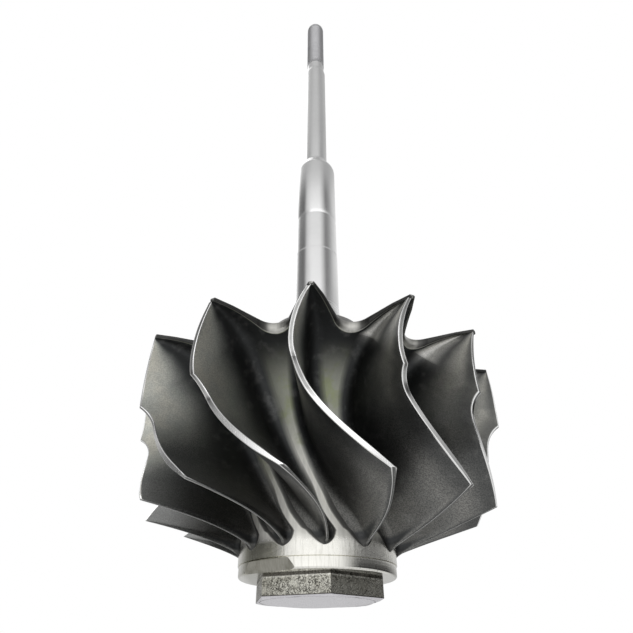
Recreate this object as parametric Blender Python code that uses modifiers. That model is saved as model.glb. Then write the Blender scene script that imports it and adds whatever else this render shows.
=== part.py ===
"""Turbocharger turbine wheel on its shaft, standing on the hexagon at the end of its nose.

Metres, +Z up along the shaft. The origin is the centre of the hexagon's end face.
Angles round the axis start at the front, -Y, and grow towards +X.
"""
import math

import bmesh
import bpy
from mathutils import Vector

MM = 0.001

# The wheel as a whole
BLADES = 13
PITCH = math.tau / BLADES
SEAT_GAP = 0.3 * MM
TURNED_STEPS = 4 * BLADES
SHAFT_STEPS = 32
MERGE_DISTANCE = 0.01 * MM

# The outline of one blade, as radius and height
TIP_RADIUS = 34.0 * MM
TIP_TOP = 38.9 * MM
KINK_RADIUS = 33.8 * MM
KINK_HEIGHT = 27.3 * MM
THROAT_RADIUS = 31.35 * MM
THROAT_HEIGHT = 23.2 * MM
EXIT_RADIUS = 30.8 * MM
EXIT_HEIGHT = 13.1 * MM
ROOT_EXIT_HEIGHT = 8.0 * MM
ROOT_START = 0.97
ROOT_SAMPLES = 60
SLOPE_STEP = 0.001

# The sweep of a blade round the axis, as an angle that depends on height alone
FLAT_ANGLE = math.radians(-6.4)
FLAT_HEIGHT = 30.5 * MM
SWEEP_END = 8.6 * MM
EXIT_CURL = math.radians(0.084) / MM ** 2
TIP_CURL = math.radians(0.053) / MM ** 2

# The thickness of a blade
ROOT_THICKNESS = 1.7 * MM
OUTER_THICKNESS = 0.75 * MM
EXIT_THICKNESS = 0.45 * MM
THICKNESS_CURVE = 0.7
THINNING_ROWS = 3
KEPT_AT_EXIT = 0.35
SPAN_CELLS = 6
LEADING_CELLS = 4
ARC_CELLS = 4
SHROUD_CELLS = 6

# The hub: a cylinder at the nose that flares out into the back disc
NOSE_RADIUS = 13.4 * MM
HUB_BOTTOM = 5.1 * MM
FLARE_START = 9.0 * MM
FLARE_PULL_LOW = 29.0 * MM
FLARE_PULL_RADIUS = 20.5 * MM
FLARE_PULL_HIGH = 39.6 * MM
DISC_RADIUS = 33.9 * MM
DISC_UNDERSIDE = 39.2 * MM
DISC_TOP = 40.1 * MM
ARM_ANGLE = math.radians(-1.4)
VALLEY_RADIUS = 25.0 * MM
VALLEY_TOP = 39.2 * MM
VALLEY_ARC = 3.0 * MM
VALLEY_WALL_ANGLE = math.radians(35)
VALLEY_MOUTH = 7.5 * MM
VALLEY_CELLS = 8
DISH_RADIUS = 15.5 * MM
DISH_HEIGHT = 38.4 * MM
COLLAR_RADIUS = 10.4 * MM
COLLAR_FILLET = 4.0 * MM
COLLAR_CELLS = 5
HUB_TOP = 44.7 * MM
FLARE_POINTS = 15

# The nose band, with the flat ground off it for balance
BAND_TOP = HUB_BOTTOM - SEAT_GAP
BAND_RADIUS = 13.25 * MM
BAND_BOTTOM = 3.3 * MM
BAND_ROUNDING = 0.4 * MM
ROUNDING_CELLS = 4
POCKET_ANGLE = math.radians(-37)
POCKET_DEPTH = 12.4 * MM
POCKET_BLOCK = (22 * MM, 4 * MM, 4 * MM)

# The hexagon
HEX_CORNER_RADIUS = 11.2 * MM
HEX_HEIGHT = 3.0 * MM
HEX_TURN = math.radians(10)
HEX_FACE_RADIUS = 9.9 * MM
HEX_CHAMFER = 0.41 * MM
CONE_MARGIN = 1 * MM
CONE_STEPS = 48

# The shaft, from the wheel to its threaded end
BOSS_BOTTOM = 45.0 * MM
BOSS_SHOULDER = 50.2 * MM
BOSS_TOP = 58.0 * MM
BOSS_FLARE_END = 1.27 * math.pi
BOSS_FLARE_CELLS = 6
RING_GROOVE_LOW = 46.6 * MM
RING_GROOVE_HIGH = 48.6 * MM
RING_GROOVE_RADIUS = 9.0 * MM
JOURNAL_RADIUS = 5.08 * MM
WAIST_RADIUS = 5.0 * MM
WAIST_BOTTOM = 73.1 * MM
UNDERCUT_LOW = 84.0 * MM
UNDERCUT_RADIUS = 4.8 * MM
WAIST_TOP = 84.7 * MM
JOURNAL_TOP = 103.9 * MM
JOURNAL_CHAMFER_TOP = 107.8 * MM
SPIGOT_RADIUS = 2.98 * MM
SPIGOT_TOP = 151.0 * MM
SPIGOT_CHAMFER_TOP = 152.6 * MM
NECK_RADIUS = 2.62 * MM
NECK_TOP = 155.8 * MM
THREAD_RADIUS = 2.72 * MM
THREAD_TOP = 178.4 * MM
SHAFT_END = 180.8 * MM
DOME_FLAT_RADIUS = 0.7 * MM
DOME_CELLS = 5

FINISHES = {
    "cast_alloy": ((0.20, 0.20, 0.20), 0.42, 1.0),
    "machined_nose": ((0.52, 0.52, 0.52), 0.34, 1.0),
    "rough_hexagon": ((0.40, 0.40, 0.36), 0.46, 1.0),
    "ground_steel": ((0.66, 0.66, 0.66), 0.26, 1.0),
    "rolled_thread": ((0.36, 0.36, 0.36), 0.40, 1.0),
}


def clear_scene():
    for thing in list(bpy.data.objects):
        bpy.data.objects.remove(thing, do_unlink=True)


def new_collection(name):
    collection = bpy.data.collections.new(name)
    bpy.context.scene.collection.children.link(collection)
    return collection


clear_scene()
PARTS = new_collection("turbine_wheel")
CUTTERS = new_collection("turbine_wheel_cutters")


def finish_material(part_name, finish):
    colour, roughness, metallic = FINISHES[finish]
    material = bpy.data.materials.new(f"{part_name}_{finish}")
    material.use_nodes = True
    shader = material.node_tree.nodes["Principled BSDF"]
    shader.inputs["Base Color"].default_value = (*colour, 1.0)
    shader.inputs["Roughness"].default_value = roughness
    shader.inputs["Metallic"].default_value = metallic
    return material


def add_part(name, mesh, finish):
    part = bpy.data.objects.new(name, mesh)
    PARTS.objects.link(part)
    if not mesh.materials:
        mesh.materials.append(finish_material(name, finish))
    return part


def add_cutter(name, mesh):
    cutter = bpy.data.objects.new(name, mesh)
    CUTTERS.objects.link(cutter)
    cutter.hide_render = True
    cutter.display_type = "WIRE"
    return cutter


def profile_mesh(name, outline):
    """An outline of radius and height pairs, as a chain of edges in the plane Y = 0."""
    mesh = bpy.data.meshes.new(name)
    points = [(radius, 0.0, height) for radius, height in outline]
    mesh.from_pydata(points, [(i, i + 1) for i in range(len(points) - 1)], [])
    return mesh


def turn(thing, steps):
    screw = thing.modifiers.new("Turned", "SCREW")
    screw.axis = "Z"
    screw.angle = math.tau
    screw.steps = steps
    screw.render_steps = steps
    screw.use_merge_vertices = True
    screw.merge_threshold = MERGE_DISTANCE
    screw.use_smooth_shade = True


def cut(part, cutter, operation="DIFFERENCE"):
    boolean = part.modifiers.new("Cut", "BOOLEAN")
    boolean.operation = operation
    boolean.object = cutter
    boolean.solver = "EXACT"


def turned_part(name, outline, finish, steps=SHAFT_STEPS):
    """A solid of revolution: the outline runs from the axis at the top to the axis at the bottom."""
    part = add_part(name, profile_mesh(name, outline), finish)
    turn(part, steps)
    return part


def outline_cutter(name, outlines, low, high):
    """Flat outlines on the X, Y plane, pulled up into prisms from low to high."""
    curve = bpy.data.curves.new(name, "CURVE")
    curve.dimensions = "2D"
    curve.fill_mode = "BOTH"
    curve.extrude = (high - low) / 2
    for outline in outlines:
        spline = curve.splines.new("POLY")
        spline.points.add(len(outline) - 1)
        for point, (x, y) in zip(spline.points, outline):
            point.co = (x, y, 0.0, 1.0)
        spline.use_cyclic_u = True
    guide = add_cutter(f"{name}_outline", curve)
    guide.location.z = (low + high) / 2
    bpy.context.view_layer.update()
    evaluated = guide.evaluated_get(bpy.context.evaluated_depsgraph_get())
    mesh = bpy.data.meshes.new_from_object(evaluated)
    cutter = add_cutter(name, mesh)
    cutter.matrix_world = guide.matrix_world.copy()
    bpy.data.objects.remove(guide, do_unlink=True)
    work = bmesh.new()
    work.from_mesh(mesh)
    bmesh.ops.remove_doubles(work, verts=work.verts, dist=MERGE_DISTANCE)
    work.to_mesh(mesh)
    work.free()
    return cutter


def arc(centre, radius, first_angle, last_angle, cells):
    """Points on an arc in the plane of radius and height."""
    angles = [first_angle + (last_angle - first_angle) * i / cells for i in range(cells + 1)]
    return [(centre[0] + radius * math.cos(a), centre[1] + radius * math.sin(a)) for a in angles]


def flare_point(t):
    """The hub's gas side, from the nose at t = 0 to the disc's edge at t = 1."""
    radii = (NOSE_RADIUS, NOSE_RADIUS, FLARE_PULL_RADIUS, DISC_RADIUS)
    heights = (FLARE_START, FLARE_PULL_LOW, FLARE_PULL_HIGH, DISC_UNDERSIDE)
    weights = ((1 - t) ** 3, 3 * t * (1 - t) ** 2, 3 * t * t * (1 - t), t ** 3)
    return (sum(w * r for w, r in zip(weights, radii)), sum(w * h for w, h in zip(weights, heights)))


def spread(first, last, cells):
    """Evenly spaced points on a straight line, without the last one."""
    return [tuple(a + (b - a) * i / cells for a, b in zip(first, last)) for i in range(cells)]


def along(points, fraction):
    """The point at a fraction of the length of a chain of points."""
    lengths = [math.dist(a, b) for a, b in zip(points, points[1:])]
    left = fraction * sum(lengths)
    for (a, b), length in zip(zip(points, points[1:]), lengths):
        if left <= length:
            return tuple(p + (q - p) * left / length for p, q in zip(a, b))
        left -= length
    return points[-1]


def blade_outer_line():
    """Down the leading edge, round the shroud's hollow and down the shroud to the exit corner."""
    kink = (KINK_RADIUS, KINK_HEIGHT)
    reach, rise = KINK_RADIUS - THROAT_RADIUS, KINK_HEIGHT - THROAT_HEIGHT
    hollow_radius = (reach ** 2 + rise ** 2) / (2 * reach)
    centre = (THROAT_RADIUS + hollow_radius, THROAT_HEIGHT)
    hollow = arc(centre, hollow_radius, math.atan2(rise, reach - hollow_radius), math.pi, ARC_CELLS)
    points = spread((TIP_RADIUS, TIP_TOP), kink, LEADING_CELLS)
    points += hollow[:-1]
    points += spread(hollow[-1], (EXIT_RADIUS, EXIT_HEIGHT), SHROUD_CELLS)
    points.append((EXIT_RADIUS, EXIT_HEIGHT))
    return points


def blade_root_line():
    """Along the hub, a seat gap clear of it, from the disc's edge to the exit."""
    points = []
    for i in range(ROOT_SAMPLES + 1):
        t = ROOT_START * (1 - i / ROOT_SAMPLES)
        here, ahead = flare_point(t), flare_point(t + SLOPE_STEP)
        along_r, along_z = ahead[0] - here[0], ahead[1] - here[1]
        length = math.hypot(along_r, along_z) or 1.0
        points.append((here[0] + along_z / length * SEAT_GAP, here[1] - along_r / length * SEAT_GAP))
    points.append((NOSE_RADIUS + SEAT_GAP, ROOT_EXIT_HEIGHT))
    return points


def sweep_angle(height):
    height = max(height, SWEEP_END)
    curl = EXIT_CURL if height < FLAT_HEIGHT else TIP_CURL
    return FLAT_ANGLE + curl * (FLAT_HEIGHT - height) ** 2


def blade_mesh():
    """The blade's middle surface: radial lines, each turned round the axis by its height."""
    outer = blade_outer_line()
    root = blade_root_line()
    rows = len(outer)
    columns = SPAN_CELLS + 1
    total = sum(math.dist(a, b) for a, b in zip(outer, outer[1:]))
    points = []
    walked = 0.0
    for i, edge in enumerate(outer):
        if i:
            walked += math.dist(outer[i - 1], edge)
        foot = along(root, walked / total)
        for j in range(columns):
            radius, height = (a + (b - a) * j / SPAN_CELLS for a, b in zip(foot, edge))
            angle = sweep_angle(height)
            points.append((radius * math.sin(angle), -radius * math.cos(angle), height))
    faces = []
    for i in range(rows - 1):
        for j in range(columns - 1):
            first = i * columns + j
            faces.append((first, first + 1, first + columns + 1, first + columns))
    mesh = bpy.data.meshes.new("blade")
    mesh.from_pydata(points, [], faces)
    mesh.shade_smooth()
    mesh.materials.append(finish_material("blade", "cast_alloy"))
    return mesh, rows, columns


def blade_thickness(row, column, rows):
    """Thick at the root, thin along the shroud, thinnest at the exit edge."""
    span = column / SPAN_CELLS
    body = ROOT_THICKNESS + (OUTER_THICKNESS - ROOT_THICKNESS) * span ** THICKNESS_CURVE
    near_exit = max(0.0, 1 - (rows - 1 - row) / THINNING_ROWS)
    near_tip = max(0.0, 1 - row / THINNING_ROWS)
    thin = EXIT_THICKNESS + (body - EXIT_THICKNESS) * KEPT_AT_EXIT
    body += (thin - body) * near_exit
    return body + (OUTER_THICKNESS - body) * near_tip


def make_blades():
    mesh, rows, columns = blade_mesh()
    for number in range(BLADES):
        blade = add_part(f"blade_{number + 1:02d}", mesh, "cast_alloy")
        blade.rotation_euler.z = number * PITCH
        group = blade.vertex_groups.new(name="thickness")
        for row in range(rows):
            for column in range(columns):
                weight = blade_thickness(row, column, rows) / ROOT_THICKNESS
                group.add([row * columns + column], weight, "REPLACE")
        solidify = blade.modifiers.new("Blade thickness", "SOLIDIFY")
        solidify.thickness = ROOT_THICKNESS
        solidify.offset = 0.0
        solidify.vertex_group = group.name


def valley_outlines():
    """One rounded V for each space between two blade tips, as seen along the axis."""
    outlines = []
    centre = VALLEY_RADIUS + VALLEY_ARC
    half_arc = math.pi / 2 - VALLEY_WALL_ANGLE
    bottom = arc((0.0, centre), VALLEY_ARC, -math.pi / 2 - half_arc, -math.pi / 2 + half_arc, VALLEY_CELLS)
    side_x, side_y = bottom[-1]
    mouth_y = side_y + (VALLEY_MOUTH - side_x) / math.tan(VALLEY_WALL_ANGLE)
    beyond = TIP_RADIUS + 2 * MM
    shape = [(-VALLEY_MOUTH, beyond), (-VALLEY_MOUTH, mouth_y)] + bottom
    shape += [(VALLEY_MOUTH, mouth_y), (VALLEY_MOUTH, beyond)]
    for number in range(BLADES):
        angle = ARM_ANGLE + (number + 0.5) * PITCH
        outward = Vector((math.sin(angle), -math.cos(angle)))
        sideways = Vector((math.cos(angle), math.sin(angle)))
        outlines.append([tuple(sideways * x + outward * y) for x, y in shape])
    return outlines


def make_hub():
    """The core of the casting: nose, flare, scalloped back disc and the collar behind it."""
    collar_centre = (COLLAR_RADIUS + COLLAR_FILLET, DISH_HEIGHT + COLLAR_FILLET)
    outline = [(0.0, HUB_TOP), (COLLAR_RADIUS, HUB_TOP)]
    outline += arc(collar_centre, COLLAR_FILLET, math.pi, 1.5 * math.pi, COLLAR_CELLS)
    outline += [(DISH_RADIUS + COLLAR_FILLET / 2, DISH_HEIGHT), (VALLEY_RADIUS, VALLEY_TOP)]
    outline += [(DISC_RADIUS, DISC_TOP)]
    outline += [flare_point(1 - i / FLARE_POINTS) for i in range(FLARE_POINTS + 1)]
    outline += [(NOSE_RADIUS, HUB_BOTTOM), (0.0, HUB_BOTTOM)]
    hub = turned_part("hub", outline, "cast_alloy", TURNED_STEPS)
    cut(hub, outline_cutter("valley_cutter", valley_outlines(), FLAT_HEIGHT, HUB_TOP))


def make_nose_band():
    rounding = arc((BAND_RADIUS - BAND_ROUNDING, BAND_BOTTOM + BAND_ROUNDING), BAND_ROUNDING,
                   0.0, -math.pi / 2, ROUNDING_CELLS)
    outline = [(0.0, BAND_TOP), (BAND_RADIUS, BAND_TOP)] + rounding + [(0.0, BAND_BOTTOM)]
    band = turned_part("nose_band", outline, "machined_nose", TURNED_STEPS)
    bpy.ops.mesh.primitive_cube_add(size=1)
    block = bpy.context.object
    mesh = block.data
    bpy.data.objects.remove(block, do_unlink=True)
    cutter = add_cutter("pocket_cutter", mesh)
    cutter.scale = POCKET_BLOCK
    cutter.rotation_euler.z = POCKET_ANGLE
    reach = POCKET_DEPTH + POCKET_BLOCK[1] / 2
    cutter.location = (reach * math.sin(POCKET_ANGLE), -reach * math.cos(POCKET_ANGLE),
                       (BAND_BOTTOM + BAND_TOP) / 2)
    cut(band, cutter)


def make_hexagon():
    bpy.ops.mesh.primitive_cylinder_add(vertices=6, radius=HEX_CORNER_RADIUS, depth=HEX_HEIGHT)
    blank = bpy.context.object
    mesh = blank.data
    bpy.data.objects.remove(blank, do_unlink=True)
    hexagon = add_part("hexagon", mesh, "rough_hexagon")
    hexagon.location.z = HEX_HEIGHT / 2
    hexagon.rotation_euler.z = HEX_TURN
    # the corners of the end face are turned off by a cone
    wide = HEX_CORNER_RADIUS + CONE_MARGIN
    chamfer_height = HEX_CHAMFER * (wide - HEX_FACE_RADIUS) / (HEX_CORNER_RADIUS - HEX_FACE_RADIUS)
    outline = [(0.0, HEX_HEIGHT + CONE_MARGIN), (wide, HEX_HEIGHT + CONE_MARGIN), (wide, chamfer_height),
               (HEX_FACE_RADIUS, 0.0), (HEX_FACE_RADIUS, -CONE_MARGIN), (0.0, -CONE_MARGIN)]
    cone = add_cutter("chamfer_cutter", profile_mesh("chamfer_cutter", outline))
    turn(cone, CONE_STEPS)
    cut(hexagon, cone, "INTERSECT")


def make_shaft():
    """Six turned lengths in line, from the boss on the wheel's back to the domed end."""
    fillet = BOSS_TOP - BOSS_SHOULDER
    boss_flare = arc((JOURNAL_RADIUS + fillet, BOSS_TOP), fillet, math.pi, BOSS_FLARE_END, BOSS_FLARE_CELLS)
    boss = [(0.0, BOSS_TOP)] + boss_flare
    boss += [(COLLAR_RADIUS, BOSS_SHOULDER), (COLLAR_RADIUS, RING_GROOVE_HIGH),
             (RING_GROOVE_RADIUS, RING_GROOVE_HIGH), (RING_GROOVE_RADIUS, RING_GROOVE_LOW),
             (COLLAR_RADIUS, RING_GROOVE_LOW), (COLLAR_RADIUS, BOSS_BOTTOM), (0.0, BOSS_BOTTOM)]
    turned_part("shaft_boss", boss, "ground_steel")

    low = BOSS_TOP + SEAT_GAP
    inner = [(0.0, WAIST_BOTTOM), (JOURNAL_RADIUS, WAIST_BOTTOM), (JOURNAL_RADIUS, low), (0.0, low)]
    turned_part("inner_journal", inner, "ground_steel")

    low = WAIST_BOTTOM + SEAT_GAP
    waist = [(0.0, WAIST_TOP), (UNDERCUT_RADIUS, WAIST_TOP), (UNDERCUT_RADIUS, UNDERCUT_LOW),
             (WAIST_RADIUS, UNDERCUT_LOW), (WAIST_RADIUS, low), (0.0, low)]
    turned_part("shaft_waist", waist, "ground_steel")

    low = WAIST_TOP + SEAT_GAP
    outer = [(0.0, JOURNAL_CHAMFER_TOP), (SPIGOT_RADIUS, JOURNAL_CHAMFER_TOP),
             (WAIST_RADIUS, JOURNAL_TOP), (WAIST_RADIUS, low), (0.0, low)]
    turned_part("outer_journal", outer, "ground_steel")

    low = JOURNAL_CHAMFER_TOP + SEAT_GAP
    spigot = [(0.0, SPIGOT_CHAMFER_TOP), (NECK_RADIUS, SPIGOT_CHAMFER_TOP),
              (SPIGOT_RADIUS, SPIGOT_TOP), (SPIGOT_RADIUS, low), (0.0, low)]
    turned_part("wheel_spigot", spigot, "ground_steel")

    low = SPIGOT_CHAMFER_TOP + SEAT_GAP
    neck = [(0.0, NECK_TOP), (NECK_RADIUS, NECK_TOP), (NECK_RADIUS, low), (0.0, low)]
    turned_part("thread_neck", neck, "ground_steel")

    low = NECK_TOP + SEAT_GAP
    dome = []
    for i in range(DOME_CELLS + 1):
        rise = i / DOME_CELLS
        radius = DOME_FLAT_RADIUS + (THREAD_RADIUS - DOME_FLAT_RADIUS) * math.sin(rise * math.pi / 2)
        dome.append((radius, THREAD_TOP + (SHAFT_END - THREAD_TOP) * math.cos(rise * math.pi / 2)))
    thread = [(0.0, SHAFT_END)] + dome + [(THREAD_RADIUS, low), (0.0, low)]
    turned_part("threaded_end", thread, "rolled_thread")


def main():
    make_hub()
    make_blades()
    make_nose_band()
    make_hexagon()
    make_shaft()


main()
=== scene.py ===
"""The turbine wheel's looks: one casting, a ground shaft, and the photograph's light and camera."""

import math

import bmesh
import bpy
import numpy as np
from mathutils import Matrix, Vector


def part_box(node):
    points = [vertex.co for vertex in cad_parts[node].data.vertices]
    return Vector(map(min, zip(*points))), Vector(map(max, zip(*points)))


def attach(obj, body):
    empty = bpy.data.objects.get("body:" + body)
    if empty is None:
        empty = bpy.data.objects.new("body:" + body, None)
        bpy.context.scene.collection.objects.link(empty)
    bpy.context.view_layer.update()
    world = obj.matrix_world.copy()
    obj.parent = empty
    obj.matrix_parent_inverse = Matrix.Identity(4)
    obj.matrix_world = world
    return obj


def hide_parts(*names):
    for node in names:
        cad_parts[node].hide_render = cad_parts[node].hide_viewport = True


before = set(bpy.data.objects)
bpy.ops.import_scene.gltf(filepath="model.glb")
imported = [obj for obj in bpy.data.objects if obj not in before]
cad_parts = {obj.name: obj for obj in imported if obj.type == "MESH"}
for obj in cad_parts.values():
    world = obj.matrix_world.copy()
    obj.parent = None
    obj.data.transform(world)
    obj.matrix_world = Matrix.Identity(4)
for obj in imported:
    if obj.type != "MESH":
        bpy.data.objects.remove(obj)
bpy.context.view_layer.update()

MM = 0.001
BLADES = 13
PITCH = math.tau / BLADES

# The sweep of a blade round the axis: an angle that depends on height alone
FLAT_ANGLE = math.radians(-6.4)
FLAT_HEIGHT = 30.5 * MM
SWEEP_END = 8.6 * MM
SWEEP_EASE = 4.4 * MM
EXIT_CURL = math.radians(0.084) / MM ** 2
TIP_CURL = math.radians(0.053) / MM ** 2

# The outline of one blade, as radius and height
TIP_RADIUS = 34.0 * MM
TIP_HEIGHT = 39.5 * MM
KINK = (33.8 * MM, 27.3 * MM)
THROAT = (31.35 * MM, 23.2 * MM)
EXIT_CORNER = (30.8 * MM, 13.1 * MM)
TRAILING_BEND = (14.5 * MM, 8.1 * MM)

# The hub's gas side, a curve from the nose to the edge of the back disc
NOSE_RADIUS = 13.4 * MM
FLARE = ((NOSE_RADIUS, 9.0 * MM), (NOSE_RADIUS, 29.0 * MM), (20.5 * MM, 39.4 * MM), (33.9 * MM, 39.4 * MM))
FLARE_CELLS = 200
BLADE_FOOT = 6.5 * MM
NOSE_STEP = 5.1 * MM

# The scallops in the back disc and the disc's back face
ARM_ANGLE = math.radians(-1.4)
VALLEY_RADIUS = 25.0 * MM
VALLEY_ARC = 3.0 * MM
VALLEY_ARC_CELLS = 40
VALLEY_WALL_ANGLE = 35
VALLEY_MOUTH = (7.65 * MM, 33.15 * MM)
VALLEY_LIP = 2.4 * MM
MOUTH_SHIFT = (0.6, -0.1)
LOWER_ROUNDING = 0.55 * MM
BACK_ROUNDING = 0.25 * MM
BACK_AT_TIP = 40.1 * MM
BACK_AT_VALLEY = 39.2 * MM
DISH = (17.0 * MM, 38.4 * MM)
DISH_ROWS = 10
COLLAR_RADIUS = 10.4 * MM
COLLAR_FILLET = 4.0 * MM
COLLAR_CELLS = 7
CASTING_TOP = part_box("hub")[1].z


def spread(first, last, cells):
    """Evenly spaced numbers from first to last, both included."""
    return [first + (last - first) * i / cells for i in range(cells + 1)]


def between(first, last, share):
    return tuple(a + (b - a) * share for a, b in zip(first, last))


def smooth(share):
    share = min(1.0, max(0.0, share))
    return share * share * (3 - 2 * share)


def through(stops, place):
    """A value that runs smoothly through (place, value) stops."""
    for (low, first), (high, last) in zip(stops, stops[1:]):
        if place <= high:
            return first + (last - first) * smooth((place - low) / (high - low))
    return stops[-1][1]


def chain_point(points, share):
    """The point at a share of the length of a chain of points."""
    lengths = [math.dist(a, b) for a, b in zip(points, points[1:])]
    left = share * sum(lengths)
    for a, b, length in zip(points, points[1:], lengths):
        if left <= length:
            return between(a, b, left / length)
        left -= length
    return points[-1]


def rounding(centre, radius, first, last, cells):
    """A rounded corner of a profile, from one angle in degrees to another."""
    return [(centre[0] + radius * math.cos(math.radians(a)), centre[1] + radius * math.sin(math.radians(a)))
            for a in spread(first, last, cells)]


def curve_point(corners, t):
    """The point at a share of a curve that its corners pull towards them."""
    while len(corners) > 1:
        corners = [between(one, other, t) for one, other in zip(corners, corners[1:])]
    return corners[0]


FLARE_LINE = [curve_point(FLARE, t) for t in spread(0, 1, FLARE_CELLS)]


def flare_height(radius):
    """The height of the hub's gas side at a radius beyond the nose."""
    return float(np.interp(radius, [p[0] for p in FLARE_LINE], [p[1] for p in FLARE_LINE]))


def curl_at(height):
    return EXIT_CURL if height < FLAT_HEIGHT else TIP_CURL


def curl_angle(height):
    return FLAT_ANGLE + curl_at(height) * (FLAT_HEIGHT - height) ** 2


def eased(height):
    """The height that sets the sweep, easing out towards the foot, and how fast it still changes."""
    top = SWEEP_END + SWEEP_EASE / 2
    below = min(max(top - height, 0.0), SWEEP_EASE)
    return max(height, top) - below + below * below / (2 * SWEEP_EASE), 1 - below / SWEEP_EASE


def sweep_angle(height):
    return curl_angle(eased(height)[0])


def sweep_slope(height):
    """How fast the blade's angle changes with height."""
    level, pace = eased(height)
    return 2 * curl_at(height) * (level - FLAT_HEIGHT) * pace


def lean_factor(radius, height):
    """How much wider a leaning blade is round the axis than square to its faces."""
    return math.hypot(1.0, radius * sweep_slope(height))


def valley_outline(inset, cells):
    """Half of a scallop, from its mouth to its lowest point: distance from its middle line, and radius."""
    centre = (0.0, VALLEY_RADIUS + VALLEY_ARC)
    arc = rounding(centre, VALLEY_ARC + inset, -VALLEY_WALL_ANGLE, -90, VALLEY_ARC_CELLS)
    foot_x, foot_y = arc[0]
    wall = VALLEY_MOUTH[1] - VALLEY_LIP - foot_y
    line = [(VALLEY_MOUTH[0] + inset * MOUTH_SHIFT[0], VALLEY_MOUTH[1] + inset * MOUTH_SHIFT[1]),
            (foot_x + wall * math.tan(math.radians(VALLEY_WALL_ANGLE)), foot_y + wall)] + arc
    return [chain_point(line, share) for share in spread(0, 1, cells)]


# How finely the casting is divided, how its stations are spaced, and the lines along the blades' edges
LEADING_ROWS = 28
HOLLOW_ROWS = 10
SHROUD_ROWS = 32
TRAILING_ROWS = 20
END_ROWS = 12
END_START = 0.7
END_ZONE = 0.8
END_EASE = 1.5
TIP_EASE = 0.9
FLOOR_CELLS = 8
FILLET_CELLS = 8
SIDE_CELLS = 10
LAND_CHAMFER = 0.08 * MM
EDGE_LINE = 0.16 * MM

# Thicknesses and fillets in mm, by zone; fillets by the side of the blade too. Then how fast a fillet
# grows with the blade's height, how much of a passage it may take, and how a blade thins outwards
OUTER_THICKNESS = [(0, 0.5), (0.3, 0.72), (1, 0.75), (1.3, 0.82), (1.8, 0.82), (2, 0.46), (2.12, 0.27),
                   (2.5, 0.24), (3, 0.36)]
ROOT_THICKNESS = [(0, 0.6), (1, 1.5), (1.5, 1.8), (2, 1.25), (2.7, 0.85), (3, 0.8)]
FILLET_SIZES = {-1: [(0, 0.12), (0.35, 0.9), (1, 2.2), (1.6, 1.7), (1.85, 1.8), (2, 2.6)],
                1: [(0, 0.12), (0.35, 0.9), (1, 2.2), (1.6, 2.7), (1.85, 2.2), (2, 0.9)]}
FILLET_LIMITS = [(1.6, 2.7), (2, 1.3)]
FILLET_PACE = 0.75
FILLET_ROOM = 0.85
THICKNESS_EASE = 0.8

# How far the floor's edges are turned against the blades at the exit
FLOOR_SHIFT = math.radians(5.2)

# Where the cast root of a blade ends on the turned nose: height in mm, and degrees either side of the blade
TONGUE = {-1: ((6.5, -1.7), (6.6, -3.3), (6.8, -5.0), (7.1, -7.0), (7.5, -9.1), (8.0, -11.5),
               (8.6, -14.0), (9.0, -15.6)),
          1: ((6.5, -1.7), (6.6, 0.1), (6.8, 1.7), (7.1, 3.3), (7.5, 4.7), (8.0, 5.6), (8.6, 6.2),
              (9.0, 6.6))}
TONGUE_TIP = math.radians(-1.7)
TONGUE_ZONE = 1.8

# The blade's outer edge: how round it is by zone, and its points, as a share of half its width and an
# angle. Then the largest share of a station that its rounding and its bright line may take
ROUND_EDGE = [(0, 0.0), (1.9, 0.0), (2.1, 0.85), (3, 1.0)]
CAP = ((-1.0, -90), (-0.8, -55), (-0.4, -25), (0.0, 0), (0.4, 25), (0.8, 55), (1.0, 90))
CAP_LIMIT = 0.12
EDGE_LIMIT = 0.15
SHORTEST = 1e-6


class Station:
    """One station along a blade: where it starts on the hub and ends on the blade's outer edge.

    The zone counts from 0 at the tip, over 1 at the kink and 2 at the exit corner, to 3 at the root.
    Valley is the angle that the scallop takes up there, and end runs from 0 to 1 as the root dies out.
    """

    def __init__(self, hub, outer, zone, valley=0.0, end=0.0):
        self.hub, self.outer, self.zone, self.valley, self.end = hub, outer, zone, valley, end
        self.length = max(math.dist(hub, outer), SHORTEST)
        self.closing = math.sqrt(max(0.0, 1 - end ** 2))
        self.bent = TONGUE_TIP * end ** 2

    def point(self, share, aside):
        """A point at a share of the station, some distance to one side of the blade's middle."""
        radius, height = between(self.hub, self.outer, share)
        turn = aside * lean_factor(radius, height) / radius
        return radius, sweep_angle(height) + self.bent + turn, height


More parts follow.
